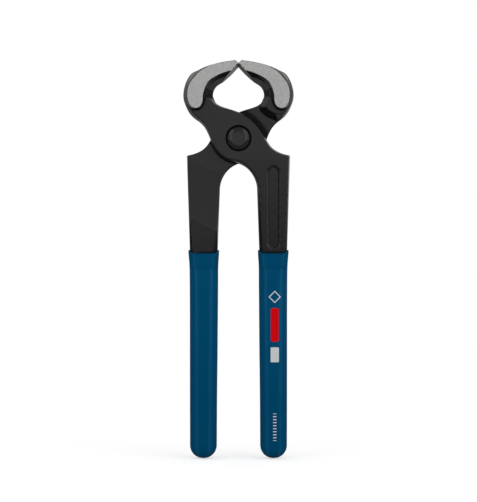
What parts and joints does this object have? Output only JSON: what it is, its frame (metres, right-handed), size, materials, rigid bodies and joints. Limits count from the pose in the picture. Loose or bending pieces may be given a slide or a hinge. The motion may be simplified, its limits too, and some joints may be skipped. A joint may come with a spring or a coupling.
{
  "type": "tile nippers",
  "caption": "Pincer-type nippers with wide curved jaws that meet at bevelled cutting edges, joined by a rivet, with moulded sleeves on long handles.",
  "frame": {"origin": "on the rivet's axis, in the plane where the levers lap", "axes": "+Z along the tool from the handles towards the jaws, +X to the right across the tool, -Y out of the front face"},
  "size_m": [0.07, 0.025, 0.2501],
  "materials": {
    "lacquered_steel": "satin black lacquer, ground bright on the jaw's pads and edge",
    "rivet_steel": "satin black",
    "sleeve_vinyl": "soft gloss petrol blue vinyl"
  },
  "bodies": {
    "front_half": {"front_lever": "lacquered_steel", "rivet": "rivet_steel", "front_grip_sleeve": "sleeve_vinyl"},
    "rear_half": {"rear_lever": "lacquered_steel", "rear_grip_sleeve": "sleeve_vinyl"}
  },
  "joints": [
    {"name": "jaw_pivot", "type": "hinge", "parent": "front_half", "child": "rear_half", "pos_m": [0, 0, 0], "axis": [0, 1, 0], "range_deg": [0, 40]}
  ]
}
